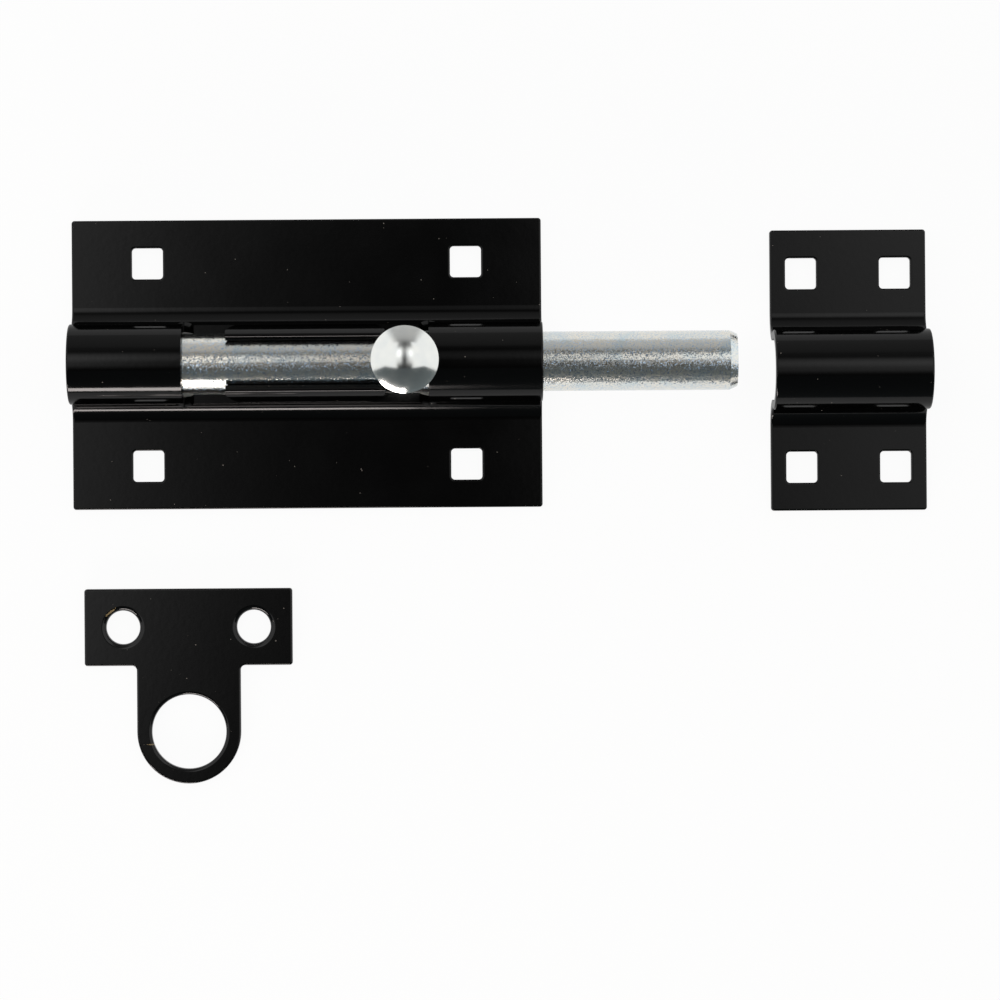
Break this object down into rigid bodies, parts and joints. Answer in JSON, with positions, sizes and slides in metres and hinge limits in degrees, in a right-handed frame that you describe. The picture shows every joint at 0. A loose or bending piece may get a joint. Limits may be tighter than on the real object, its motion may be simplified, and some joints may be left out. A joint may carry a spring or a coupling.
{
  "type": "barrel bolt",
  "caption": "Black stamped barrel plate carrying a sliding, turning zinc-plated rod with a turned knob, with a matching loose keeper and a flat tee-shaped plate.",
  "frame": {"origin": "middle of the barrel plate's four square holes, on the plate's back face", "axes": "+X along the rod towards the keeper, +Z out of the door towards the user, +Y up the door"},
  "size_m": [0.231, 0.1524, 0.0433],
  "materials": {
    "black_coat": "gloss black",
    "zinc_bar": "bright zinc plate",
    "zinc_knob": "polished zinc"
  },
  "bodies": {
    "plates": {"barrel_plate": "black_coat", "keeper_plate": "black_coat", "tee_plate": "black_coat"},
    "rod": {"bolt_rod": "zinc_bar"},
    "knob": {"bolt_knob": "zinc_knob"}
  },
  "joints": [
    {"name": "rod_slide", "type": "slide", "parent": "plates", "child": "rod", "axis": [1, 0, 0], "range_m": [-0.0545, 0.0009]},
    {"name": "knob_turn", "type": "hinge", "parent": "rod", "child": "knob", "pos_m": [0.0268, 0, 0.0115], "axis": [1, 0, 0], "range_deg": [-90, 90]}
  ]
}
